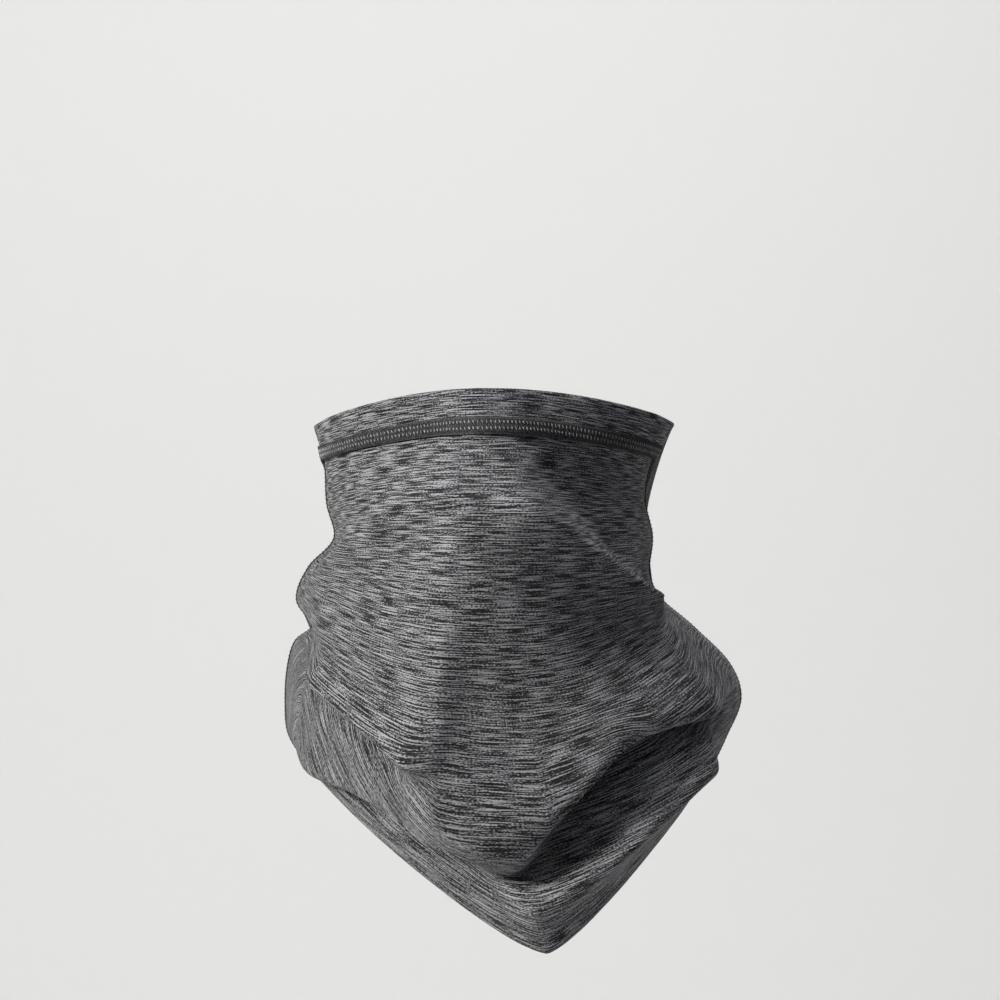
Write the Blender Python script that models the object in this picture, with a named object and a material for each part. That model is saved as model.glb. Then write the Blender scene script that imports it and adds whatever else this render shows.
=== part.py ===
"""Neck gaiter worn as a half-face mask: a sewn tube of heathered stretch jersey.

The tube is modelled as it is worn: over the nose and cheeks at the front, low round the
nape at the back, and with its lower end turned under. The frame has +X to the wearer's
left, +Y to the back of the head and +Z up. The origin is on the axis of the head, level
with the front of the top edge. The tables below are in millimetres.
"""
import math

import bpy
import numpy as np

MM = 0.001

# ---- driving dimensions, in millimetres
CLOTH = 1.0                 # one layer of the brushed jersey
HEM_BAND = 2.4              # the folded top band, two layers
LOWER_HEM = 2.2             # the folded hem at the lower end, two layers
THREADS = 0.5               # a flatlock seam's threads, on each face
GAP = 0.3                   # left between faces that lie on each other
CUT_GAP = 0.6               # left between cut edges that meet under a seam
LOWER_GAP = 1.2             # the same at the lower hem, where the cloth is gathered
BAND_EDGE = 15.5            # the top band ends here and the panels start
SEAM_HALF = 3.2             # half the width of the seam round the top
SIDE_SEAM_HALF = 2.4        # half the width of a side seam
TUCK = 223.0                # cloth depth at the front where the tube turns under
TURN_RADIUS = 3.5           # radius of that turn
TUCK_LENGTH = 22.0          # how far the panels run back up inside
TUCK_SLACK = 3.0            # how much further in the tucked end lies
LOWER_HEM_WIDTH = 13.0      # the folded hem above that
LABEL_WIDTH = 26.0
LABEL_TOP, LABEL_END = 105.0, 157.0     # the gathered cloth beside it leaves it 34 mm long
LABEL_THICKNESS = 0.5

# ---- the four lines that the cloth hangs from, by depth of cloth at the front
FRONT_Y = [(0, -78), (40, -84), (60, -90), (112, -102), (160, -111), (190, -111), (225, -101)]
RIGHT = [  # depth, x, z
    (0, -71, -13), (20, -67, -29), (40, -66, -46), (60, -63, -60), (85, -74, -73), (112, -79, -86),
    (138, -73, -98), (155, -80, -104), (172, -83, -114), (190, -84, -128), (207, -83, -141), (225, -77, -152),
]
LEFT = [
    (0, 76, -12), (20, 67, -28), (40, 64, -44), (60, 67, -59), (85, 66, -74), (112, 71, -86),
    (138, 86, -99), (155, 100, -113), (172, 105, -127), (190, 99, -143), (207, 92, -157), (225, 84, -168),
]
BACK = [  # depth, y, z
    (0, 80, -106), (20, 84, -124), (60, 90, -140), (112, 96, -160), (172, 97, -181), (225, 92, -202),
]
SIDE_Y = [(0, -22), (60, -14), (112, -3), (172, 4), (225, 4)]
CENTRE_X = [(0, 0), (85, 2), (138, 7), (172, 12), (225, 23)]
NOSE = [(0, 9), (20, 14), (37, 19), (50, 16), (65, 11), (90, 4), (115, 0), (260, 0)]
NOSE_ASIDE = -4.0           # the nose's ridge lies this far to the right of the middle
GIRTH_RADIUS = 85.0         # turns an angle round the tube into millimetres of cloth

# ---- folds: crest as (degrees round, depth) from right to left, how far out, how far it sags,
# ---- reach above, reach below, roundness of the crest
FOLDS = [
    ([(-5, 28), (-8, 53), (-12, 101), (-16, 150), (-16, 190)], 13, 0, 32, 30, 4),
    ([(1, 32), (24, 61), (42, 77), (64, 105), (80, 148), (92, 166)], 9, 0, 8, 18, 4),
    ([(9, 31), (33, 60), (48, 74)], -4, 0, 9, 7, 4),
    ([(-80, 88), (-52, 64), (-34, 52), (-4, 26)], 6, 0, 16, 9, 4),
    ([(-80, 149), (-46, 145), (-14, 152)], 5, 1, 16, 7, 4),
    ([(-80, 157), (-46, 154), (-22, 156)], -5, 0, 7, 9, 4),
    ([(-80, 213), (-37, 188), (-2, 191)], 5, 1, 12, 8, 4),
    ([(-84, 221), (-32, 197), (-10, 200)], -5, 0, 8, 9, 4),
    ([(-8, 195), (3, 175), (20, 152), (42, 147), (86, 166)], 10, 3, 26, 8, 4),
    ([(-9, 201), (15, 172), (36, 156), (80, 172)], -7, 0, 8, 11, 4),
    ([(-8, 212), (26, 200), (52, 187), (62, 187)], 8, 0, 14, 10, 5),
    ([(130, 48), (180, 42), (230, 50)], 7, 2, 14, 12, 14),
    ([(122, 104), (180, 98), (238, 108)], 7, 2, 16, 14, 14),
    ([(115, 160), (180, 156), (245, 164)], 7, 2, 15, 13, 14),
]
STEEPNESS = 0.004           # rounds the corner where a slope starts, as a share squared


def blend(start, end, value):
    """Smooth step from 0 at start to 1 at end."""
    share = np.clip((value - start) / (end - start), 0, 1)
    return share * share * (3 - 2 * share)


def follow(keys, values, at):
    """Smooth curve through the values, read at the given places."""
    keys = np.asarray(keys, float)
    values = np.asarray(values, float)
    slope = np.gradient(values, keys)
    i = np.clip(np.searchsorted(keys, at, side="right") - 1, 0, len(keys) - 2)
    span = keys[i + 1] - keys[i]
    s = np.clip((at - keys[i]) / span, 0, 1)
    rise = (1 + 2 * s) * (1 - s) ** 2 * values[i] + s * s * (3 - 2 * s) * values[i + 1]
    return rise + span * (s * (1 - s) ** 2 * slope[i] + s * s * (s - 1) * slope[i + 1])


def read(line, depth, column=1):
    return follow([p[0] for p in line], [p[column] for p in line], depth)


def smooth_line(points, count=40):
    """Evenly spaced points on a smooth curve through the given ones."""
    points = np.array(points, float)
    lengths = np.linalg.norm(np.diff(points, axis=0), axis=1)
    keys = np.concatenate([[0], np.cumsum(lengths)])
    at = np.linspace(0, keys[-1], count)
    return np.stack([follow(keys, points[:, k], at) for k in range(2)], -1)


def beside(across, depth, line):
    """Distance to a line, positive on its lower side, and the share of the way along it."""
    nearest = np.full(across.shape, 1e9)
    side = np.ones_like(nearest)
    along = np.zeros_like(nearest)
    lengths = np.linalg.norm(np.diff(line, axis=0), axis=1)
    start = np.concatenate([[0], np.cumsum(lengths)])
    for k in range(len(line) - 1):
        point, step = line[k], line[k + 1] - line[k]
        s = ((across - point[0]) * step[0] + (depth - point[1]) * step[1]) / (step @ step)
        s = np.clip(s, 0, 1)
        u = across - point[0] - s * step[0]
        v = depth - point[1] - s * step[1]
        closer = np.hypot(u, v) < nearest
        nearest = np.where(closer, np.hypot(u, v), nearest)
        side = np.where(closer, np.where(step[0] * v - step[1] * u >= 0, 1, -1), side)
        along = np.where(closer, (start[k] + s * lengths[k]) / start[-1], along)
    return nearest * side, along


def folded(angle, depth, tucked):
    """How far the folds push the cloth out, and how far it sags. They die out towards the tuck."""
    aside = angle * GIRTH_RADIUS - NOSE_ASIDE
    nose_width = np.where(aside > 0, 19 + 0.5 * depth, 17 + 0.16 * depth)
    out = read(NOSE, depth) * np.exp(-(aside / nose_width) ** 2)
    sag = np.zeros_like(out)
    for crest, height, drop, above, below, roundness in FOLDS:
        middle = math.radians(sum(p[0] for p in crest) / len(crest))
        turned = np.mod(angle - middle + math.pi, 2 * math.pi) - math.pi + middle
        line = smooth_line([(math.radians(p[0]) * GIRTH_RADIUS, p[1]) for p in crest])
        distance, along = beside(turned * GIRTH_RADIUS, depth, line)
        flank = (np.hypot(distance, roundness) - roundness) / np.where(distance < 0, above, below)
        swell = np.exp(-flank) * blend(0, 0.15, along) * blend(0, 0.15, 1 - along)
        fade = np.where(tucked, 0.2, 1 - 0.8 * blend(200, TUCK, depth))
        fade = fade * (1 - blend(0.82, 0.99, np.abs(np.sin(turned))))
        swell = swell * fade * blend(BAND_EDGE - 2, BAND_EDGE + 14, depth)
        out = out + height * swell
        sag = sag + drop * swell
    return out, sag


def droop(side, depth, front, left):
    """Share of the way down from the side line to the front or back line."""
    power_front = 2.0 - 0.8 * blend(np.where(left, 140, 90), np.where(left, 215, 200), depth)
    power_back = 5.0 - 3.4 * blend(0, 200, depth)
    level = np.where(front & ~left, 0.2 * blend(120, 160, depth) * (1 - blend(172, 222, depth)), 0)

    def ramp(u):
        return 0.5 * (u + np.sqrt(u * u + STEEPNESS))

    away = (ramp(side - level) - ramp(-level)) / (ramp(1 - level) - ramp(-level))
    return 1 - np.maximum(away, 1e-9) ** np.where(front, power_front, power_back)


def wall(angle, depth, tucked):
    """The middle of the cloth by depth. The tucked end is the calmer copy inside it."""
    left = np.sin(angle) > 0
    front = np.cos(angle) > 0
    side = np.abs(np.sin(angle))
    degrees = np.degrees(np.arccos(np.clip(np.cos(angle), -1, 1)))
    side_z = np.where(left, read(LEFT, depth, 2), read(RIGHT, depth, 2))
    middle_z = np.where(front, -depth, read(BACK, depth, 2))
    z = side_z + (middle_z - side_z) * droop(side, depth, front, left)
    side_x = np.where(left, read(LEFT, depth), read(RIGHT, depth))
    centre = read(CENTRE_X, depth) * (0.5 + 0.5 * np.cos(angle))
    flare = (np.where(left, 0.44, 0.62) - 0.46 * blend(30, 190, depth)) * blend(112, 146, degrees)
    flare = flare - 0.05 * blend(90, 112, degrees) * (1 - blend(40, 100, depth))
    x = centre + (side_x * (1 + flare) - centre) * side
    middle_y = np.where(front, read(FRONT_Y, depth), read(BACK, depth))
    y = read(SIDE_Y, depth) + (middle_y - read(SIDE_Y, depth)) * np.abs(np.cos(angle))
    y = y - 15 * blend(0, 30, depth) * blend(92, 115, degrees) * (1 - blend(128, 155, degrees))
    out, sag = folded(angle, depth, tucked)
    return np.stack([x + np.sin(angle) * out, y - np.cos(angle) * out, z - sag], -1)


def unit(vectors):
    return vectors / np.linalg.norm(vectors, axis=-1, keepdims=True)


def frame_at(angle, depth, tucked):
    """Point, outward normal and downward direction of the wall."""
    turn, drop = 0.006, 0.4
    across = wall(angle + turn, depth, tucked) - wall(angle - turn, depth, tucked)
    below = wall(angle, np.minimum(depth + drop, TUCK), tucked)
    down = below - wall(angle, np.maximum(depth - drop, 0), tucked)
    normal = unit(np.cross(down, across))
    return wall(angle, depth, tucked), normal, unit(down)


def cloth(angle, length, offset):
    """A point of the cloth, length millimetres down it, offset from its middle.

    Past TUCK the cloth goes round the turn and back up inside the wall, so a positive
    offset, on the cloth's outer face, then points to the neck.
    """
    angle, length = np.broadcast_arrays(np.asarray(angle, float), np.asarray(length, float))
    arc = math.pi * TURN_RADIUS
    inside = length > TUCK + arc
    depth = np.where(inside, 2 * TUCK + arc - length, np.minimum(length, TUCK))
    point, normal, down = frame_at(angle, depth, inside)
    theta = (np.clip(length - TUCK, 0, arc) / TURN_RADIUS)[..., None]
    facing = normal * np.cos(theta) + down * np.sin(theta)
    slack = (TUCK_SLACK * blend(TUCK + arc, TUCK + arc + 12, length))[..., None]
    return point - (TURN_RADIUS + slack) * normal + (TURN_RADIUS + offset) * facing


# ---- where the pieces are cut: all of them share these lines, so that they stay parallel
TUCK_END = TUCK + math.pi * TURN_RADIUS + TUCK_LENGTH
SEAM_ANGLE = math.degrees(SIDE_SEAM_HALF / GIRTH_RADIUS)
CUT_ANGLE = math.degrees(CUT_GAP / 2 / GIRTH_RADIUS)
FRONT_ANGLES = [
    -80, -71, -62, -53, -45, -37, -30, -23, -17, -11, -5, 1, 7, 13, 20, 27, 34, 41, 49, 57, 65, 73, 81,
]
BACK_ANGLES = [100, 110, 118, 126, 135, 147, 160, 173, 187, 200, 213, 225, 234, 242, 250, 260]
DEPTHS = [
    20, 30, 40, 50, 60, 70, 80, 90, 100, 110, 120, 130, 140, 148, 156, 164, 172, 180, 188, 195, 202, 209, 217,
]


def front_angles():
    ends = 90 - CUT_ANGLE
    return [-ends, -90 + SEAM_ANGLE] + FRONT_ANGLES + [90 - SEAM_ANGLE, ends]


def back_angles():
    ends = 90 + CUT_ANGLE
    return [ends, 90 + SEAM_ANGLE] + BACK_ANGLES + [270 - SEAM_ANGLE, 360 - ends]


def ring_angles():
    front = [-90 + SEAM_ANGLE] + FRONT_ANGLES + [90 - SEAM_ANGLE]
    return front + [90 + SEAM_ANGLE] + BACK_ANGLES + [270 - SEAM_ANGLE]


def panel_lengths():
    turn = [TUCK + TURN_RADIUS * math.pi * k / 4 for k in range(5)]
    inside = [TUCK_END - 17, TUCK_END - 10, TUCK_END - SEAM_HALF, TUCK_END]
    return [BAND_EDGE + CUT_GAP, BAND_EDGE + SEAM_HALF] + DEPTHS + turn + inside


def finish(name, colour, roughness):
    material = bpy.data.materials.new(name)
    material.use_nodes = True
    shader = material.node_tree.nodes["Principled BSDF"]
    shader.inputs["Base Color"].default_value = (*colour, 1)
    shader.inputs["Roughness"].default_value = roughness
    shader.inputs["Metallic"].default_value = 0
    return material


def shell(name, angles, lengths, outer, inner, colour, ring=False):
    """One closed piece of cloth between two offsets, over a grid of angles and lengths."""
    turn, run = np.meshgrid(np.radians(angles), np.array(lengths, float), indexing="ij")
    outside = cloth(turn, run, outer).reshape(-1, 3)
    inside = cloth(turn, run, inner).reshape(-1, 3)
    points = np.concatenate([outside, inside]) * MM
    rows, columns = len(angles), len(lengths)
    half = rows * columns
    faces = []
    for i in range(rows if ring else rows - 1):
        a, b = i * columns, (i + 1) % rows * columns
        for k in range(columns - 1):
            faces.append((a + k, a + k + 1, b + k + 1, b + k))
            faces.append((half + a + k, half + b + k, half + b + k + 1, half + a + k + 1))
        faces.append((a, b, half + b, half + a))
        low = columns - 1
        faces.append((a + low, half + a + low, half + b + low, b + low))
    if not ring:
        last = (rows - 1) * columns
        for k in range(columns - 1):
            faces.append((k, half + k, half + k + 1, k + 1))
            faces.append((last + k, last + k + 1, half + last + k + 1, half + last + k))
    mesh = bpy.data.meshes.new(name)
    mesh.from_pydata(points.tolist(), [], faces)
    mesh.shade_smooth()
    mesh.set_sharp_from_angle(angle=math.radians(50))
    piece = bpy.data.objects.new(name, mesh)
    bpy.context.collection.objects.link(piece)
    mesh.materials.append(finish(name, colour, 0.9))
    return piece


def build():
    heather = (0.16, 0.16, 0.165)
    lining = (0.20, 0.21, 0.23)
    thread = (0.055, 0.055, 0.06)
    half = CLOTH / 2
    band = HEM_BAND / 2
    hem = LOWER_HEM / 2
    seam = [BAND_EDGE - SEAM_HALF, BAND_EDGE, BAND_EDGE + SEAM_HALF]
    lower_seam = [TUCK_END - SEAM_HALF, TUCK_END, TUCK_END + LOWER_GAP, TUCK_END + SEAM_HALF + LOWER_GAP]

    shell("top_hem_band", ring_angles(), [0, 1.2, 7, seam[0], BAND_EDGE], band, -band, heather, ring=True)
    shell("front_panel", front_angles(), panel_lengths(), half, -half, heather)
    shell("back_panel", back_angles(), panel_lengths(), half, -half, heather)
    lower_edge = [TUCK_END + LOWER_GAP, lower_seam[3], TUCK_END + LOWER_HEM_WIDTH]
    shell("bottom_hem_band", ring_angles(), lower_edge, hem, -hem, lining, ring=True)

    over_band = band + GAP
    shell("top_cover_stitch", ring_angles(), seam, over_band + THREADS, over_band, thread, ring=True)
    shell("top_looper_stitch", ring_angles(), seam, -over_band, -over_band - THREADS, thread, ring=True)
    over_hem = hem + GAP
    shell("bottom_cover_stitch", ring_angles(), lower_seam, over_hem + THREADS, over_hem, thread, ring=True)
    shell("bottom_looper_stitch", ring_angles(), lower_seam, -over_hem, -over_hem - THREADS, thread, ring=True)

    seam_run = [BAND_EDGE + SEAM_HALF + GAP] + DEPTHS + [TUCK - 1]
    over = half + GAP
    for side, middle in (("left", 90), ("right", -90)):
        width = [middle - SEAM_ANGLE, middle, middle + SEAM_ANGLE]
        shell(side + "_cover_stitch", width, seam_run, over + THREADS, over, thread)
        shell(side + "_looper_stitch", width, seam_run, -over, -over - THREADS, thread)

    label_start = 90 + SEAM_ANGLE + 1
    label_end = label_start + math.degrees(LABEL_WIDTH / GIRTH_RADIUS)
    label_angles = np.linspace(label_start, label_end, 4).tolist()
    label_run = np.linspace(LABEL_TOP, LABEL_END, 5).tolist()
    face = -over - THREADS - GAP
    shell("care_label", label_angles, label_run, face, face - LABEL_THICKNESS, (0.7, 0.7, 0.68))


for old in list(bpy.data.objects):
    bpy.data.objects.remove(old)
build()
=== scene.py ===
import math

import bpy
import numpy as np
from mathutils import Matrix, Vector


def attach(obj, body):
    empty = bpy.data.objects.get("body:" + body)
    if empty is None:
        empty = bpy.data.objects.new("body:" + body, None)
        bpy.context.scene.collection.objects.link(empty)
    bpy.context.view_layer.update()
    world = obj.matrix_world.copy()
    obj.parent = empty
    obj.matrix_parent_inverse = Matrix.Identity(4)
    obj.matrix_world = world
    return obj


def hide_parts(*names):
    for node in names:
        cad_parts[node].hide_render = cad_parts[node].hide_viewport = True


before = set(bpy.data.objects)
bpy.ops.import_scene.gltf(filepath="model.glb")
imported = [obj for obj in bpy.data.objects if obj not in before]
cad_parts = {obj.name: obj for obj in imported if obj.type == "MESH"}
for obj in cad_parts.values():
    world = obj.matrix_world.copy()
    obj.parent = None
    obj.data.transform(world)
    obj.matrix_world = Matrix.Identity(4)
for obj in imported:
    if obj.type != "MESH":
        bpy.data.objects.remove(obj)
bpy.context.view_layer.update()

# ---- Front panel -------------------------------------------------------------------------
# The front half of the tube: one layer of brushed stretch jersey from side seam to side seam,
# drawn up over the nose and cheeks, hanging in slack folds over the chest and turned under at
# its lower end. Lengths here are in millimetres of cloth, down from the front of the top edge.

MM = 0.001
CLOTH = 1.0
TUCK = 223.0                # the cloth turns under here
TURN_RADIUS = 3.5
TUCK_LENGTH = 22.0          # how far it runs back up inside
TUCK_SLACK = 3.0
BAND_EDGE = 15.5            # the top band ends here
GIRTH_RADIUS = 85.0         # turns an angle round the tube into millimetres of cloth
CUT_ANGLE = math.degrees(0.3 / GIRTH_RADIUS)
NOSE_ASIDE = -4.0           # the nose stands this far from the middle of the front
CORNER_DROP = 0.8           # how far the top edge dips at the side seams

# The wall at each depth: (depth, x, z) for the sides, (depth, y, z) for the back.

FRONT_Y = [(0, -78), (40, -84), (60, -90), (112, -102), (160, -111), (190, -111), (225, -101)]
RIGHT = [
    (0, -71, -13), (20, -67, -29), (40, -66, -46), (60, -63, -60), (85, -74, -73), (112, -79, -86),
    (138, -73, -98), (155, -80, -104), (172, -83, -114), (190, -84, -128), (207, -83, -141),
    (225, -77, -152),
]
LEFT = [
    (0, 76, -12), (20, 67, -28), (40, 64, -44), (60, 67, -59), (85, 66, -74), (112, 71, -86),
    (138, 86, -99), (155, 100, -113), (172, 105, -127), (190, 99, -143), (207, 92, -157), (225, 84, -168),
]
BACK = [(0, 80, -106), (20, 84, -124), (60, 90, -140), (112, 96, -160), (172, 97, -181), (225, 92, -202)]
SIDE_Y = [(0, -22), (60, -14), (112, -3), (172, 4), (225, 4)]
CENTRE_X = [(0, 0), (85, 2), (138, 7), (172, 12), (225, 23)]
NOSE = [(0, 9), (20, 14), (37, 19), (50, 16), (65, 11), (90, 4), (115, 0), (260, 0)]

# crests and edges that several folds follow, as (degrees round, depth) from right to left
CHEEK = [(1, 32), (9, 45), (24, 61), (42, 77), (64, 105), (71, 128), (80, 148), (92, 166)]
MASS_EDGE = [(-80, 149), (-61, 146), (-46, 145), (-33, 145), (-24, 147), (-14, 152)]
LIP = [(-80, 213), (-58, 204), (-37, 188), (-23, 183), (-13, 184), (-2, 191)]
COWL = [
    (-8, 195), (-4, 190), (3, 175), (12, 161), (20, 152), (29, 145), (42, 147), (58, 155), (86, 166),
]

# folds: crest, how far out, how far it sags, reach above, reach below, roundness of the crest
FOLDS = [
    ([(-5, 28), (-8, 53), (-11, 77), (-12, 101), (-15, 127), (-16, 150), (-16, 190)], 14, 0, 32, 30, 5),
    ([(-11, 90), (-14, 125), (-16, 150), (-16, 188)], 5, 0, 8, 14, 1.5),
    (CHEEK, 8, 0, 6, 28, 2),
    (CHEEK, 6, 0, 3.5, 7, 2),
    ([(13, 27), (20, 36), (29, 46), (41, 58), (56, 72)], -6, 0, 10, 6, 4),
    ([(-80, 88), (-67, 77), (-52, 64), (-34, 52), (-19, 43), (-4, 26)], 7, 0, 16, 8, 3),
    ([(-60, 92), (-39, 72), (-26, 60), (-10, 46)], -2.5, 0, 6, 16, 5),
    (MASS_EDGE, 13, 6, 16, 3.5, 2),
    ([(-80, 156), (-58, 153), (-46, 152), (-34, 151), (-20, 156)], -16, 0, 3.5, 9, 2),
    (LIP, 12, 4, 14, 4, 2),
    ([(-84, 221), (-49, 205), (-32, 194), (-21, 192), (-6, 198)], -14, 0, 4, 9, 2.5),
    (COWL, 13, 7, 30, 4, 1.5),
    ([(-9, 199), (3, 183), (15, 169), (26, 158), (36, 152), (52, 157), (80, 170)], -14, 0, 4, 9, 2.5),
    ([(-8, 212), (12, 207), (26, 200), (40, 192), (52, 187), (62, 187)], 15, 0, 15, 9, 3),
    ([(68, 99), (72, 86), (76, 72)], -11, 0, 6, 6, 2),
    ([(62, 94), (61, 82), (66, 70)], 3, 0, 5, 5, 3),
    ([(130, 48), (180, 42), (230, 50)], 7, 2, 14, 12, 14),
    ([(122, 104), (180, 98), (238, 108)], 7, 2, 16, 14, 14),
    ([(115, 160), (180, 156), (245, 164)], 7, 2, 15, 13, 14),
]


def blend(start, end, value):
    """Smooth step from 0 at start to 1 at end."""
    share = np.clip((value - start) / (end - start), 0, 1)
    return share * share * (3 - 2 * share)


def follow(keys, values, at):
    """Smooth curve through the values, read at the given places."""
    keys = np.asarray(keys, float)
    values = np.asarray(values, float)
    slope = np.gradient(values, keys)
    i = np.clip(np.searchsorted(keys, at, side="right") - 1, 0, len(keys) - 2)
    span = keys[i + 1] - keys[i]
    s = np.clip((at - keys[i]) / span, 0, 1)
    rise = (1 + 2 * s) * (1 - s) ** 2 * values[i] + s * s * (3 - 2 * s) * values[i + 1]
    return rise + span * (s * (1 - s) ** 2 * slope[i] + s * s * (s - 1) * slope[i + 1])


def read(line, depth, column=1):
    return follow([p[0] for p in line], [p[column] for p in line], depth)


def smooth_line(points, count=28):
    """Evenly spaced points on a smooth curve through the given ones."""
    points = np.array(points, float)
    lengths = np.linalg.norm(np.diff(points, axis=0), axis=1)
    keys = np.concatenate([[0], np.cumsum(lengths)])
    at = np.linspace(0, keys[-1], count)
    return np.stack([follow(keys, points[:, k], at) for k in range(2)], -1)


def beside(across, depth, line):
    """Distance to a line, positive on its lower side, and the share of the way along it."""
    nearest = np.full(across.shape, 1e9)
    side = np.ones_like(nearest)
    along = np.zeros_like(nearest)
    lengths = np.linalg.norm(np.diff(line, axis=0), axis=1)
    start = np.concatenate([[0], np.cumsum(lengths)])
    for k in range(len(line) - 1):
        point, step = line[k], line[k + 1] - line[k]
        s = ((across - point[0]) * step[0] + (depth - point[1]) * step[1]) / (step @ step)
        s = np.clip(s, 0, 1)
        u = across - point[0] - s * step[0]
        v = depth - point[1] - s * step[1]
        far = np.hypot(u, v)
        closer = far < nearest
        nearest = np.where(closer, far, nearest)
        side = np.where(closer, np.where(step[0] * v - step[1] * u >= 0, 1, -1), side)
        along = np.where(closer, (start[k] + s * lengths[k]) / start[-1], along)
    return nearest * side, along


def folded(angle, depth, tucked):
    """How far the folds push the cloth out, and how far it sags. They die out towards the tuck."""
    aside = angle * GIRTH_RADIUS - NOSE_ASIDE
    nose_width = np.where(aside > 0, 19 + 0.5 * depth, 17 + 0.16 * depth)
    out = read(NOSE, depth) * np.exp(-(aside / nose_width) ** 2)
    sag = np.zeros_like(out)
    for crest, height, drop, above, below, roundness in FOLDS:
        middle = math.radians(sum(p[0] for p in crest) / len(crest))
        turned = np.mod(angle - middle + math.pi, 2 * math.pi) - math.pi + middle
        line = smooth_line([(math.radians(p[0]) * GIRTH_RADIUS, p[1]) for p in crest])
        distance, along = beside(turned * GIRTH_RADIUS, depth, line)
        width = np.where(distance < 0, above, below)
        flank = (np.hypot(distance, roundness) - roundness) / width
        swell = np.exp(-flank) * blend(0, 0.12, along) * blend(0, 0.15, 1 - along)
        fade = np.where(tucked, 0.2, 1 - 0.8 * blend(200, TUCK, depth))
        fade = fade * (1 - blend(0.82, 0.99, np.abs(np.sin(turned))))
        swell = swell * fade * blend(BAND_EDGE - 2, BAND_EDGE + 14, depth)
        out = out + height * swell
        sag = sag + drop * swell
    return out, sag


def droop(side, depth, front, left):
    """Share of the way down from the side line to the front or back line."""
    power_front = 2.0 - 0.8 * blend(np.where(left, 140, 90), np.where(left, 215, 200), depth)
    power_back = 5.0 - 3.4 * blend(0, 200, depth)
    level = np.where(front & ~left, 0.2 * blend(120, 160, depth) * (1 - blend(172, 222, depth)), 0)

    def ramp(u):
        return 0.5 * (u + np.sqrt(u * u + 0.004))

    away = (ramp(side - level) - ramp(-level)) / (ramp(1 - level) - ramp(-level))
    return 1 - np.maximum(away, 1e-9) ** np.where(front, power_front, power_back)


def wall(angle, depth, tucked):
    """The middle of the cloth by depth. The tucked end is the calmer copy inside it."""
    left = np.sin(angle) > 0
    front = np.cos(angle) > 0
    side = np.abs(np.sin(angle))
    degrees = np.degrees(np.arccos(np.clip(np.cos(angle), -1, 1)))
    side_z = np.where(left, read(LEFT, depth, 2), read(RIGHT, depth, 2))
    middle_z = np.where(front, -depth, read(BACK, depth, 2))
    z = side_z + (middle_z - side_z) * droop(side, depth, front, left)
    side_x = np.where(left, read(LEFT, depth), read(RIGHT, depth))
    centre = read(CENTRE_X, depth) * (0.5 + 0.5 * np.cos(angle))
    flare = (np.where(left, 0.44, 0.62) - 0.46 * blend(30, 190, depth)) * blend(112, 146, degrees)
    flare = flare - 0.05 * blend(90, 112, degrees) * (1 - blend(40, 100, depth))
    x = centre + (side_x * (1 + flare) - centre) * side
    middle_y = np.where(front, read(FRONT_Y, depth), read(BACK, depth))
    y = read(SIDE_Y, depth) + (middle_y - read(SIDE_Y, depth)) * np.abs(np.cos(angle))
    y = y - 15 * blend(0, 30, depth) * blend(92, 115, degrees) * (1 - blend(128, 155, degrees))
    out, sag = folded(angle, depth, tucked)
    z = z - CORNER_DROP * blend(0.9, 1.0, side) * (1 - blend(0, 16, depth))
    return np.stack([x + np.sin(angle) * out, y - np.cos(angle) * out, z - sag], -1)


def below_line(across, depth, line):
    """Millimetres below a crest."""
    crest = smooth_line([(math.radians(p[0]) * GIRTH_RADIUS, p[1]) for p in line])
    return beside(across, depth, crest)[0]


def course_shift(angle, depth):
    """How far the knitted courses are dragged down where the slack folds pull the cloth round."""
    across = angle * GIRTH_RADIUS
    crest = math.radians(-15) * GIRTH_RADIUS
    under_mass = blend(-0.5, 2.5, below_line(across, depth, MASS_EDGE))
    over_lip = 1 - blend(-1, 3, below_line(across, depth, LIP))
    spine = 1 - blend(math.radians(66), math.radians(86), -angle)
    right_side = 0.75 * np.clip(crest - across, 0, 75) * under_mass * over_lip * spine
    right_side = right_side * blend(135, 150, depth)
    over_cowl = 1 - blend(0, 3, below_line(across, depth, COWL))
    cowl_face = 0.45 * np.clip(across - 10, 0, 40) * over_cowl * blend(120, 165, depth)
    return right_side + cowl_face * (1 - blend(38, 60, across))


def unit(vectors):
    return vectors / np.linalg.norm(vectors, axis=-1, keepdims=True)


def frame_at(angle, depth, tucked):
    """Point, outward normal and downward direction of the wall."""
    turn, drop = 0.006, 0.4
    across = wall(angle + turn, depth, tucked) - wall(angle - turn, depth, tucked)
    below = wall(angle, np.minimum(depth + drop, TUCK), tucked)
    down = below - wall(angle, np.maximum(depth - drop, 0), tucked)
    return wall(angle, depth, tucked), unit(np.cross(down, across)), unit(down)


def cloth(angle, length, offset):
    """Points of the cloth, length down it and offset from its middle, and their facing.

    Past TUCK the cloth goes round the turn and back up inside the wall, so a positive
    offset, on the cloth's outer face, then points to the neck.
    """
    angle, length = np.broadcast_arrays(np.asarray(angle, float), np.asarray(length, float))
    arc = math.pi * TURN_RADIUS
    inside = length > TUCK + arc
    depth = np.where(inside, 2 * TUCK + arc - length, np.minimum(length, TUCK))
    point, normal, down = frame_at(angle, depth, inside)
    theta = (np.clip(length - TUCK, 0, arc) / TURN_RADIUS)[..., None]
    facing = normal * np.cos(theta) + down * np.sin(theta)
    slack = (TUCK_SLACK * blend(TUCK + arc, TUCK + arc + 12, length))[..., None]
    middle = point - (TURN_RADIUS + slack) * normal + TURN_RADIUS * facing
    return (middle + np.asarray(offset)[..., None] * facing) * MM, facing


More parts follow.
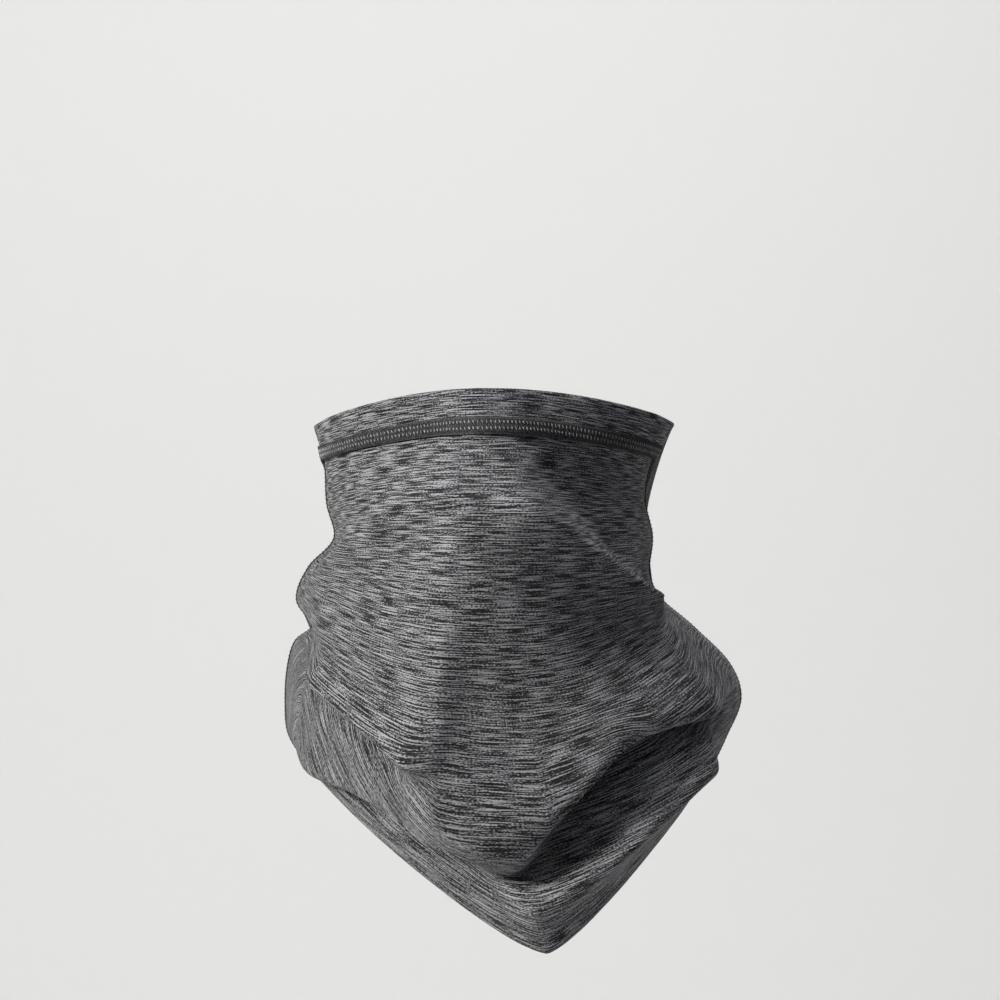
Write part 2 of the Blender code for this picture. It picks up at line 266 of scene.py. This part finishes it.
def shell(name, angles, lengths, half, materials, offset=0.0, ring=False, round_ends=0.0):
    """One closed piece of cloth, half either side of its middle, with a UV map in metres.

    The middle lies offset from the middle of the panels' cloth. The ends taper over round_ends.
    """
    turn, run = np.meshgrid(np.radians(angles), np.array(lengths, float), indexing="ij")
    edge = np.minimum(run - lengths[0], lengths[-1] - run)
    thick = np.full(run.shape, half)
    if round_ends:
        inward = np.clip(edge / round_ends, 0, 1)
        thick = half * (0.12 + 0.88 * np.sqrt(1 - (1 - inward) ** 2))
    middle, facing = cloth(turn, run, offset)
    lift = (thick * MM)[..., None] * facing
    points = np.concatenate([(middle + lift).reshape(-1, 3), (middle - lift).reshape(-1, 3)])
    rows, columns = run.shape
    half_count = rows * columns
    first = np.arange(rows if ring else rows - 1)[:, None]
    down = np.arange(columns - 1)[None, :]
    a = first * columns + down
    b = (first + 1) % rows * columns + down
    outer = np.stack([a, a + 1, b + 1, b], -1).reshape(-1, 4)
    inner = np.stack([a, b, b + 1, a + 1], -1).reshape(-1, 4) + half_count
    a, b = first[:, 0] * columns, (first[:, 0] + 1) % rows * columns
    low = columns - 1
    rims = [np.stack([a, b, half_count + b, half_count + a], -1),
            np.stack([a + low, half_count + a + low, half_count + b + low, b + low], -1)]
    if not ring:
        k = down[0]
        last = (rows - 1) * columns + k
        rims.append(np.stack([k, half_count + k, half_count + k + 1, k + 1], -1))
        rims.append(np.stack([last, last + 1, half_count + last + 1, half_count + last], -1))
    rims = np.concatenate(rims)
    faces = np.concatenate([outer, inner, rims])
    mesh = bpy.data.meshes.new(name)
    mesh.from_pydata(points.tolist(), [], faces.tolist())
    for material in materials:
        mesh.materials.append(material)
    index = np.zeros(len(faces), np.int32)
    index[len(outer):len(outer) + len(inner)] = len(materials) - 1
    mesh.polygons.foreach_set("material_index", index)
    uv = np.stack([turn * GIRTH_RADIUS * MM, (run + course_shift(turn, run)) * MM], -1).reshape(-1, 2)
    corner = np.tile(uv, (2, 1))[faces.reshape(-1)].reshape(-1, 4, 2)
    if ring:
        # the last column of faces wraps round, so its far corners are one girth further on
        girth = 2 * math.pi * GIRTH_RADIUS * MM
        wide = corner[:, :, 0].max(1) - corner[:, :, 0].min(1) > girth / 2
        behind = wide[:, None] & (corner[:, :, 0] < corner[:, :, 0].mean(1, keepdims=True))
        corner[:, :, 0] += girth * behind
    layer = mesh.uv_layers.new(name="cloth")
    layer.data.foreach_set("uv", corner.reshape(-1))
    mesh.shade_smooth()
    mesh.set_sharp_from_angle(angle=math.radians(60))
    piece = bpy.data.objects.new(name, mesh)
    bpy.context.collection.objects.link(piece)
    return piece


def new_material(name, colour, roughness):
    material = bpy.data.materials.new(name)
    material.use_nodes = True
    shader = material.node_tree.nodes["Principled BSDF"]
    shader.inputs["Base Color"].default_value = (*colour, 1)
    shader.inputs["Roughness"].default_value = roughness
    return material, material.node_tree.nodes, material.node_tree.links, shader


def stretched_noise(nodes, links, source, size, detail, roughness=0.5):
    """Noise whose grains measure size, in metres, along and across the courses."""
    scale = nodes.new("ShaderNodeMapping")
    scale.inputs["Scale"].default_value = (1 / size[0], 1 / size[1], 1)
    noise = nodes.new("ShaderNodeTexNoise")
    noise.inputs["Scale"].default_value = 1.0
    noise.inputs["Detail"].default_value = detail
    noise.inputs["Roughness"].default_value = roughness
    links.new(source, scale.inputs["Vector"])
    links.new(scale.outputs["Vector"], noise.inputs["Vector"])
    return noise.outputs["Fac"]


def math_node(nodes, links, operation, *values):
    node = nodes.new("ShaderNodeMath")
    node.operation = operation
    for socket, value in zip(node.inputs, values):
        if isinstance(value, (int, float)):
            socket.default_value = value
        else:
            links.new(value, socket)
    return node.outputs[0]


COURSE_PITCH = 0.00105      # metres
WALE_PITCH = 0.0010


def cloth_uv(nodes):
    """The piece's own map of the cloth, in metres along and across the courses."""
    node = nodes.new("ShaderNodeUVMap")
    node.uv_map = "cloth"
    return node.outputs["UV"]


def heather_jersey():
    """Light grey yarn with dark slubs that run along the knitted courses."""
    material, nodes, links, shader = new_material("heather_jersey", (0.2, 0.2, 0.2), 0.88)
    where = cloth_uv(nodes)
    slub = stretched_noise(nodes, links, where, (0.012, 0.00046), 1.0, 0.5)
    patch = stretched_noise(nodes, links, where, (0.040, 0.0024), 2.0)
    fleck = stretched_noise(nodes, links, where, (0.00080, 0.00050), 0.0)
    tone = math_node(nodes, links, "MULTIPLY_ADD", patch, 0.16, slub)
    tone = math_node(nodes, links, "MULTIPLY_ADD", fleck, 0.42, tone)
    ramp = nodes.new("ShaderNodeValToRGB")
    ramp.color_ramp.elements[0].position = 0.722
    ramp.color_ramp.elements[0].color = (0.010, 0.010, 0.012, 1)
    ramp.color_ramp.elements[1].position = 0.90
    ramp.color_ramp.elements[1].color = (0.35, 0.35, 0.366, 1)
    middle = ramp.color_ramp.elements.new(0.80)
    middle.color = (0.092, 0.092, 0.098, 1)
    links.new(tone, ramp.inputs["Fac"])
    # the knit itself: a fine rib along the courses and a weaker one along the wales, bumped, with painted
    # shade darkening the colour in the rib's grooves
    split = nodes.new("ShaderNodeSeparateXYZ")
    links.new(where, split.inputs["Vector"])
    course = math_node(nodes, links, "MULTIPLY", split.outputs["Y"], 2 * math.pi / COURSE_PITCH)
    course = math_node(nodes, links, "SINE", course)
    wale = math_node(nodes, links, "MULTIPLY", split.outputs["X"], 2 * math.pi / WALE_PITCH)
    wale = math_node(nodes, links, "SINE", wale)
    knit = math_node(nodes, links, "MULTIPLY_ADD", wale, 0.35, course)
    # painted shade: the base colour is multiplied down to 0.74 where the rib is lowest
    shade = nodes.new("ShaderNodeMapRange")
    shade.inputs["From Min"].default_value = -1.2
    shade.inputs["From Max"].default_value = 0.6
    shade.inputs["To Min"].default_value = 0.74
    shade.inputs["To Max"].default_value = 1.0
    links.new(knit, shade.inputs["Value"])
    mix = nodes.new("ShaderNodeMix")
    mix.data_type = "RGBA"
    mix.blend_type = "MULTIPLY"
    mix.inputs["Factor"].default_value = 1.0
    links.new(ramp.outputs["Color"], mix.inputs["A"])
    links.new(shade.outputs["Result"], mix.inputs["B"])
    links.new(mix.outputs["Result"], shader.inputs["Base Color"])
    height = math_node(nodes, links, "MULTIPLY_ADD", slub, 1.2, knit)
    bump = nodes.new("ShaderNodeBump")
    bump.inputs["Strength"].default_value = 0.5
    bump.inputs["Distance"].default_value = 0.00012
    links.new(height, bump.inputs["Height"])
    links.new(bump.outputs["Normal"], shader.inputs["Normal"])
    shader.inputs["Sheen Weight"].default_value = 0.10
    shader.inputs["Sheen Roughness"].default_value = 0.5
    shader.inputs["Specular IOR Level"].default_value = 0.25
    return material


def brushed_lining():
    """The inner face: pale blue-grey fleece with a short brushed nap."""
    material, nodes, links, shader = new_material("brushed_lining", (0.30, 0.31, 0.34), 0.95)
    nap = stretched_noise(nodes, links, cloth_uv(nodes), (0.0016, 0.0009), 4.0, 0.7)
    ramp = nodes.new("ShaderNodeValToRGB")
    ramp.color_ramp.elements[0].position = 0.3
    ramp.color_ramp.elements[0].color = (0.13, 0.135, 0.15, 1)
    ramp.color_ramp.elements[1].position = 0.7
    ramp.color_ramp.elements[1].color = (0.30, 0.31, 0.34, 1)
    links.new(nap, ramp.inputs["Fac"])
    links.new(ramp.outputs["Color"], shader.inputs["Base Color"])
    bump = nodes.new("ShaderNodeBump")
    bump.inputs["Strength"].default_value = 0.7
    bump.inputs["Distance"].default_value = 0.0003
    links.new(nap, bump.inputs["Height"])
    links.new(bump.outputs["Normal"], shader.inputs["Normal"])
    shader.inputs["Sheen Weight"].default_value = 0.4
    shader.inputs["Sheen Roughness"].default_value = 0.6
    return material


jersey = heather_jersey()
lining = brushed_lining()
tuck_end = TUCK + math.pi * TURN_RADIUS + TUCK_LENGTH
panel_lengths = np.linspace(BAND_EDGE + 0.6, tuck_end, 185)
front_panel = shell("front_panel_cloth", np.linspace(-90 + CUT_ANGLE, 90 - CUT_ANGLE, 236), panel_lengths,
                    CLOTH / 2, [jersey, lining])
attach(front_panel, "root")
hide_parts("front_panel")

# ---- Back panel --------------------------------------------------------------------------
# The back half of the tube, of the same jersey. Nothing holds it up behind the neck, so its
# slack lies there in three rolls, under the part of the top band that goes round the nape.

back_panel = shell("back_panel_cloth", np.linspace(90 + CUT_ANGLE, 270 - CUT_ANGLE, 200), panel_lengths,
                   CLOTH / 2, [jersey, lining])
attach(back_panel, "root")
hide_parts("back_panel")

# ---- Top band ----------------------------------------------------------------------------
# A strip of the jersey folded in half along the top edge, so it is two layers thick with a
# rounded fold at the top. It is butted to both panels under the seam.

BAND_THICKNESS = 2.4
BAND_ROUND = 1.3            # the fold and the cut edge are rounded over this length
all_round = np.linspace(-90, 270, 400, endpoint=False)
band_lengths = np.concatenate([np.linspace(0, BAND_ROUND, 7), np.linspace(2, BAND_EDGE, 16)])
top_band = shell("top_hem_cloth", all_round, band_lengths, BAND_THICKNESS / 2, [jersey], ring=True,
                 round_ends=BAND_ROUND)
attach(top_band, "root")
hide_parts("top_hem_band")

# ---- Flatlock seam round the top ---------------------------------------------------------
# Dark textured thread covers the joint on both faces: cross threads side by side, and over
# them two rows of lighter needle stitches. It is sewn through the band and the panels.

SEAM_HALF = 3.6
STITCH_PITCH = 1.75
ROW_HALF = 1.25             # each needle row's distance from the middle of the seam
BED_HALF = 0.22             # half the thickness of the layer of thread under the stitches
BED_EDGE = 0.8
SEAM_LIFT = 0.45            # the bed's middle stands this far from the cloth's face
CROSS_LIFT = 0.28           # the threads' middles stand this far above the bed's
SLANT_LIFT = 0.44
NEEDLE_LIFT = 0.56


def thread_material(name, dark, light):
    """Textured thread, finely mottled from dark to light."""
    material, nodes, links, shader = new_material(name, light, 0.75)
    place = nodes.new("ShaderNodeTexCoord")
    noise = nodes.new("ShaderNodeTexNoise")
    noise.inputs["Scale"].default_value = 1300
    noise.inputs["Detail"].default_value = 3
    links.new(place.outputs["Object"], noise.inputs["Vector"])
    ramp = nodes.new("ShaderNodeValToRGB")
    ramp.color_ramp.elements[0].position = 0.42
    ramp.color_ramp.elements[0].color = (*dark, 1)
    ramp.color_ramp.elements[1].position = 0.60
    ramp.color_ramp.elements[1].color = (*light, 1)
    links.new(noise.outputs["Fac"], ramp.inputs["Fac"])
    links.new(ramp.outputs["Color"], shader.inputs["Base Color"])
    bump = nodes.new("ShaderNodeBump")
    bump.inputs["Strength"].default_value = 0.4
    bump.inputs["Distance"].default_value = 0.0001
    links.new(noise.outputs["Fac"], bump.inputs["Height"])
    links.new(bump.outputs["Normal"], shader.inputs["Normal"])
    shader.inputs["Sheen Weight"].default_value = 0.2
    return material


def stitch_tree():
    """Lays one thread, a slim spindle, on every point of a row and turns it to lie on the cloth."""
    tree = bpy.data.node_groups.new("sewn_threads", "GeometryNodeTree")
    face = tree.interface
    face.new_socket("Geometry", in_out="INPUT", socket_type="NodeSocketGeometry")
    face.new_socket("Thread Length", in_out="INPUT", socket_type="NodeSocketFloat")
    face.new_socket("Thread Width", in_out="INPUT", socket_type="NodeSocketFloat")
    face.new_socket("Thread Height", in_out="INPUT", socket_type="NodeSocketFloat")
    face.new_socket("Thread", in_out="INPUT", socket_type="NodeSocketMaterial")
    face.new_socket("Geometry", in_out="OUTPUT", socket_type="NodeSocketGeometry")
    nodes, links = tree.nodes, tree.links
    given = nodes.new("NodeGroupInput")
    spindle = nodes.new("GeometryNodeMeshUVSphere")
    spindle.inputs["Segments"].default_value = 6
    spindle.inputs["Rings"].default_value = 5
    spindle.inputs["Radius"].default_value = 0.5
    facing = nodes.new("GeometryNodeInputNamedAttribute")
    facing.data_type = "FLOAT_VECTOR"
    facing.inputs["Name"].default_value = "facing"
    lie = nodes.new("GeometryNodeInputNamedAttribute")
    lie.data_type = "FLOAT_VECTOR"
    lie.inputs["Name"].default_value = "lie"
    upright = nodes.new("FunctionNodeAlignRotationToVector")
    upright.axis = "Z"
    links.new(lie.outputs["Attribute"], upright.inputs["Vector"])
    turned = nodes.new("FunctionNodeAlignRotationToVector")
    turned.axis = "Y"
    turned.pivot_axis = "Z"
    links.new(upright.outputs["Rotation"], turned.inputs["Rotation"])
    links.new(facing.outputs["Attribute"], turned.inputs["Vector"])
    size = nodes.new("ShaderNodeCombineXYZ")
    links.new(given.outputs["Thread Width"], size.inputs["X"])
    links.new(given.outputs["Thread Height"], size.inputs["Y"])
    links.new(given.outputs["Thread Length"], size.inputs["Z"])
    place = nodes.new("GeometryNodeInstanceOnPoints")
    links.new(given.outputs["Geometry"], place.inputs["Points"])
    links.new(spindle.outputs["Mesh"], place.inputs["Instance"])
    links.new(turned.outputs["Rotation"], place.inputs["Rotation"])
    links.new(size.outputs["Vector"], place.inputs["Scale"])
    real = nodes.new("GeometryNodeRealizeInstances")
    links.new(place.outputs["Instances"], real.inputs["Geometry"])
    smooth = nodes.new("GeometryNodeSetShadeSmooth")
    links.new(real.outputs["Geometry"], smooth.inputs["Geometry"])
    paint = nodes.new("GeometryNodeSetMaterial")
    links.new(smooth.outputs["Geometry"], paint.inputs["Geometry"])
    links.new(given.outputs["Thread"], paint.inputs["Material"])
    result = nodes.new("NodeGroupOutput")
    links.new(paint.outputs["Geometry"], result.inputs["Geometry"])
    return tree


sewn_threads = stitch_tree()
cover_thread = thread_material("cover_thread", (0.006, 0.006, 0.007), (0.050, 0.050, 0.054))
crossing_thread = thread_material("crossing_thread", (0.008, 0.008, 0.009), (0.13, 0.125, 0.12))
needle_thread = thread_material("needle_thread", (0.13, 0.13, 0.135), (0.34, 0.34, 0.35))


def lay_threads(name, points, facing, lie, length, width, height, material):
    """A row of threads: points on the cloth, each thread's direction, and its size in millimetres."""
    mesh = bpy.data.meshes.new(name + "_row")
    mesh.from_pydata(points.tolist(), [], [])
    for label, vectors in (("facing", facing), ("lie", lie)):
        layer = mesh.attributes.new(label, "FLOAT_VECTOR", "POINT")
        layer.data.foreach_set("vector", vectors.astype(np.float32).reshape(-1))
    row = bpy.data.objects.new(name + "_row", mesh)
    bpy.context.collection.objects.link(row)
    modifier = row.modifiers.new("threads", "NODES")
    modifier.node_group = sewn_threads
    given = {"Thread Length": length * MM, "Thread Width": width * MM, "Thread Height": height * MM,
             "Thread": material}
    for item in sewn_threads.interface.items_tree:
        if item.in_out == "INPUT" and item.name in given:
            modifier[item.identifier] = given[item.name]
    graph = bpy.context.evaluated_depsgraph_get()
    plain = bpy.data.meshes.new_from_object(row.evaluated_get(graph))
    plain.name = name
    bpy.data.objects.remove(row)
    piece = bpy.data.objects.new(name, plain)
    bpy.context.collection.objects.link(piece)
    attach(piece, "root")
    return piece


def spaced(start, end, pitch, path):
    """Places from start to end, pitch apart as measured on the cloth."""
    fine = np.linspace(start, end, 1600)
    line = path(fine)
    travel = np.concatenate([[0], np.cumsum(np.linalg.norm(np.diff(line, axis=0), axis=1))])
    count = int(travel[-1] / (pitch * MM))
    return np.interp(np.linspace(0, travel[-1], count, endpoint=False), travel, fine)


def ring_seam(name, node, middle, offset):
    """A flatlock seam round the tube at one length, on the face that offset points to."""
    sign = 1 if offset > 0 else -1
    lengths = np.linspace(middle - SEAM_HALF, middle + SEAM_HALF, 9)
    bed = shell(name + "_bed", all_round, lengths, BED_HALF, [cover_thread], offset=offset, ring=True,
                round_ends=BED_EDGE)
    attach(bed, "root")
    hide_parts(node)

    def path(degrees):
        return cloth(np.radians(degrees), middle, offset)[0]

    over = offset + sign * CROSS_LIFT
    at = np.radians(spaced(-90, 270, STITCH_PITCH / 3, path))
    top, facing = cloth(at, middle - SEAM_HALF + 0.5, over)
    foot, _ = cloth(at + 0.006, middle + SEAM_HALF - 0.5, over)
    lay_threads(name + "_cross", (top + foot) / 2, facing * sign, unit(foot - top),
                2 * SEAM_HALF - 0.6, 0.52, 0.40, cover_thread)
    # every second one is crossed by a lighter thread at a slant
    over = offset + sign * SLANT_LIFT
    at = at[::2]
    top, facing = cloth(at - 0.004, middle - SEAM_HALF + 0.6, over)
    foot, _ = cloth(at + 0.030, middle + SEAM_HALF - 0.6, over)
    lay_threads(name + "_slant", (top + foot) / 2, facing * sign, unit(foot - top),
                2 * SEAM_HALF - 0.4, 0.26, 0.26, crossing_thread)
    over = offset + sign * NEEDLE_LIFT
    at = np.radians(spaced(-90, 270, STITCH_PITCH, path))
    for row, shift in (("upper", -ROW_HALF), ("lower", ROW_HALF)):
        spot, facing = cloth(at, middle + shift, over)
        below, _ = cloth(at + 0.004, middle + shift + 1, over)
        lay_threads(name + "_" + row + "_needles", spot, facing * sign, unit(below - spot),
                    1.5, 0.62, 0.42, needle_thread)


ring_seam("top_cover", "top_cover_stitch", BAND_EDGE, BAND_THICKNESS / 2 + SEAM_LIFT)
ring_seam("top_looper", "top_looper_stitch", BAND_EDGE, -BAND_THICKNESS / 2 - SEAM_LIFT)

# ---- Side seams --------------------------------------------------------------------------
# The two panels are butted and flatlocked down both sides, from the top seam to the turn at
# the lower end, with the same dark thread on both faces.

SIDE_HALF = 2.4
SIDE_BED_HALF = 0.15
SIDE_LIFT = 0.30
SIDE_CROSS_LIFT = 0.15
SIDE_NEEDLE_LIFT = 0.28


def side_seam(name, node, degrees, offset):
    """A flatlock seam down one side of the tube, on the face that offset points to."""
    sign = 1 if offset > 0 else -1
    start, end = BAND_EDGE + SEAM_HALF + 0.3, TUCK - 1
    reach = math.degrees(SIDE_HALF / GIRTH_RADIUS)
    bed = shell(name + "_bed", degrees + np.linspace(-reach, reach, 7), np.linspace(start, end, 150),
                SIDE_BED_HALF, [cover_thread], offset=offset)
    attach(bed, "root")
    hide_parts(node)
    middle = math.radians(degrees)
    half = math.radians(reach) * 0.85

    def path(length):
        return cloth(middle, length, offset)[0]

    over = offset + sign * SIDE_CROSS_LIFT
    at = spaced(start, end, STITCH_PITCH / 3, path)
    near, facing = cloth(middle - half, at, over)
    far, _ = cloth(middle + half, at + 0.5, over)
    lay_threads(name + "_cross", (near + far) / 2, facing * sign, unit(far - near),
                2 * SIDE_HALF - 0.5, 0.52, 0.28, cover_thread)
    over = offset + sign * SIDE_NEEDLE_LIFT
    at = spaced(start, end, STITCH_PITCH, path)
    for row, shift in (("front", -0.45), ("rear", 0.45)):
        spot, facing = cloth(middle + shift * half, at, over)
        beyond, _ = cloth(middle + shift * half + 0.01, at + 0.2, over)
        lay_threads(name + "_" + row + "_needles", spot, facing * sign, unit(beyond - spot),
                    1.3, 0.55, 0.40, needle_thread)


for side, degrees in (("left", 90), ("right", -90)):
    side_seam(side + "_cover", side + "_cover_stitch", degrees, CLOTH / 2 + SIDE_LIFT)
    side_seam(side + "_looper", side + "_looper_stitch", degrees, -CLOTH / 2 - SIDE_LIFT)

# ---- Lower hem ---------------------------------------------------------------------------
# The folded hem at the lower end of the tube, and its seam. The end is turned under, so the
# hem lies inside, with its lining side to the wall.

LOWER_THICKNESS = 2.2
LOWER_ROUND = 1.2
LOWER_REACH = 13.0          # the hem ends this far past the panels
LOWER_SEAM = tuck_end + 0.6
lower_lengths = np.linspace(tuck_end + LOWER_ROUND, tuck_end + LOWER_REACH, 14)
lower_band = shell("bottom_hem_cloth", all_round, lower_lengths, LOWER_THICKNESS / 2, [jersey],
                   ring=True, round_ends=LOWER_ROUND)
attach(lower_band, "root")
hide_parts("bottom_hem_band")
ring_seam("bottom_cover", "bottom_cover_stitch", LOWER_SEAM, LOWER_THICKNESS / 2 + SEAM_LIFT)
ring_seam("bottom_looper", "bottom_looper_stitch", LOWER_SEAM, -LOWER_THICKNESS / 2 - SEAM_LIFT)

# ---- Care label --------------------------------------------------------------------------
# A blank satin label, caught by one edge at the left side seam, inside the back panel.

LABEL_START = 90 + math.degrees(SIDE_HALF / GIRTH_RADIUS) + 1
LABEL_ANGLE = 17.5          # degrees round the tube
LABEL_TOP, LABEL_END = 105, 157
LABEL_HALF = 0.15
LABEL_INSIDE = 1.9          # its middle lies this far inside the panel's middle


def satin():
    material, nodes, links, shader = new_material("label_satin", (0.72, 0.72, 0.70), 0.45)
    weave = stretched_noise(nodes, links, cloth_uv(nodes), (0.0006, 0.00012), 1.0)
    bump = nodes.new("ShaderNodeBump")
    bump.inputs["Strength"].default_value = 0.3
    bump.inputs["Distance"].default_value = 0.00005
    links.new(weave, bump.inputs["Height"])
    links.new(bump.outputs["Normal"], shader.inputs["Normal"])
    return material


label = shell("care_label_satin", np.linspace(LABEL_START, LABEL_START + LABEL_ANGLE, 16),
              np.linspace(LABEL_TOP, LABEL_END, 20), LABEL_HALF, [satin()], offset=-LABEL_INSIDE)
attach(label, "root")
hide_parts("care_label")

# ---- Studio ------------------------------------------------------------------------------
# A pale sweep under and behind the piece, a soft key light from the upper left, a light above, a
# weak cool fill from the right, one light on the backdrop, and a level camera straight in front.

FLOOR_Z = -0.9
FLOOR_FRONT = -0.8
FLOOR_BACK = 1.6
SWEEP_HALF_WIDTH = 1.6
SWEEP_BEND = 0.9
SWEEP_TOP = 1.8
BEND_STEPS = 12


def sweep():
    """A floor that curves up into a wall."""
    profile = [(FLOOR_FRONT, FLOOR_Z), (FLOOR_BACK, FLOOR_Z)]
    for k in range(1, BEND_STEPS + 1):
        turned = math.pi / 2 * k / BEND_STEPS
        profile.append((FLOOR_BACK + SWEEP_BEND * math.sin(turned),
                        FLOOR_Z + SWEEP_BEND * (1 - math.cos(turned))))
    profile.append((FLOOR_BACK + SWEEP_BEND, SWEEP_TOP))
    points = [(x, y, z) for x in (-SWEEP_HALF_WIDTH, SWEEP_HALF_WIDTH) for y, z in profile]
    count = len(profile)
    faces = [(k, k + count, k + count + 1, k + 1) for k in range(count - 1)]
    mesh = bpy.data.meshes.new("studio_sweep")
    mesh.from_pydata(points, [], faces)
    mesh.shade_smooth()
    paper = new_material("studio_paper", (0.80, 0.80, 0.80), 0.9)[0]
    mesh.materials.append(paper)
    piece = bpy.data.objects.new("studio_sweep", mesh)
    bpy.context.collection.objects.link(piece)
    return piece


sweep()


def soft_light(name, place, target, size, power, colour):
    light = bpy.data.lights.new(name, "AREA")
    light.shape = "DISK"
    light.size = size
    light.energy = power
    light.color = colour
    lamp = bpy.data.objects.new(name, light)
    lamp.location = place
    lamp.rotation_euler = (Vector(target) - Vector(place)).to_track_quat("-Z", "Y").to_euler()
    bpy.context.collection.objects.link(lamp)


chest = (0, 0, -0.11)
soft_light("key", (-1.85, -1.35, 0.85), chest, 0.45, 80, (1.0, 0.985, 0.96))
soft_light("fill", (1.7, -1.6, 0.4), chest, 1.2, 3, (0.90, 0.95, 1.0))
soft_light("top", (0.4, 0.1, 1.9), chest, 0.8, 18, (1, 1, 1))
soft_light("backdrop", (0, 0.9, 1.1), (0, 2.5, -0.1), 1.2, 12.8, (1, 1, 1))
world = bpy.data.worlds.new("studio")
world.use_nodes = True
world.node_tree.nodes["Background"].inputs["Color"].default_value = (0.93, 0.94, 0.95, 1)
world.node_tree.nodes["Background"].inputs["Strength"].default_value = 0.12
bpy.context.scene.world = world
bpy.context.scene.view_settings.view_transform = "Standard"

CAMERA_AWAY = 2.2
VIEW_WIDTH = 0.40           # metres across the picture at the front of the piece
SENSOR = 36
AIM = Vector((0.0048, -0.09, -0.0448))
camera = bpy.data.objects.new("camera", bpy.data.cameras.new("camera"))
camera.data.sensor_width = SENSOR
camera.data.lens = SENSOR * CAMERA_AWAY / VIEW_WIDTH
camera.location = AIM + Vector((0, -CAMERA_AWAY, 0))
camera.rotation_euler = (math.pi / 2, 0, 0)
bpy.context.collection.objects.link(camera)
bpy.context.scene.camera = camera

bpy.context.view_layer.update()
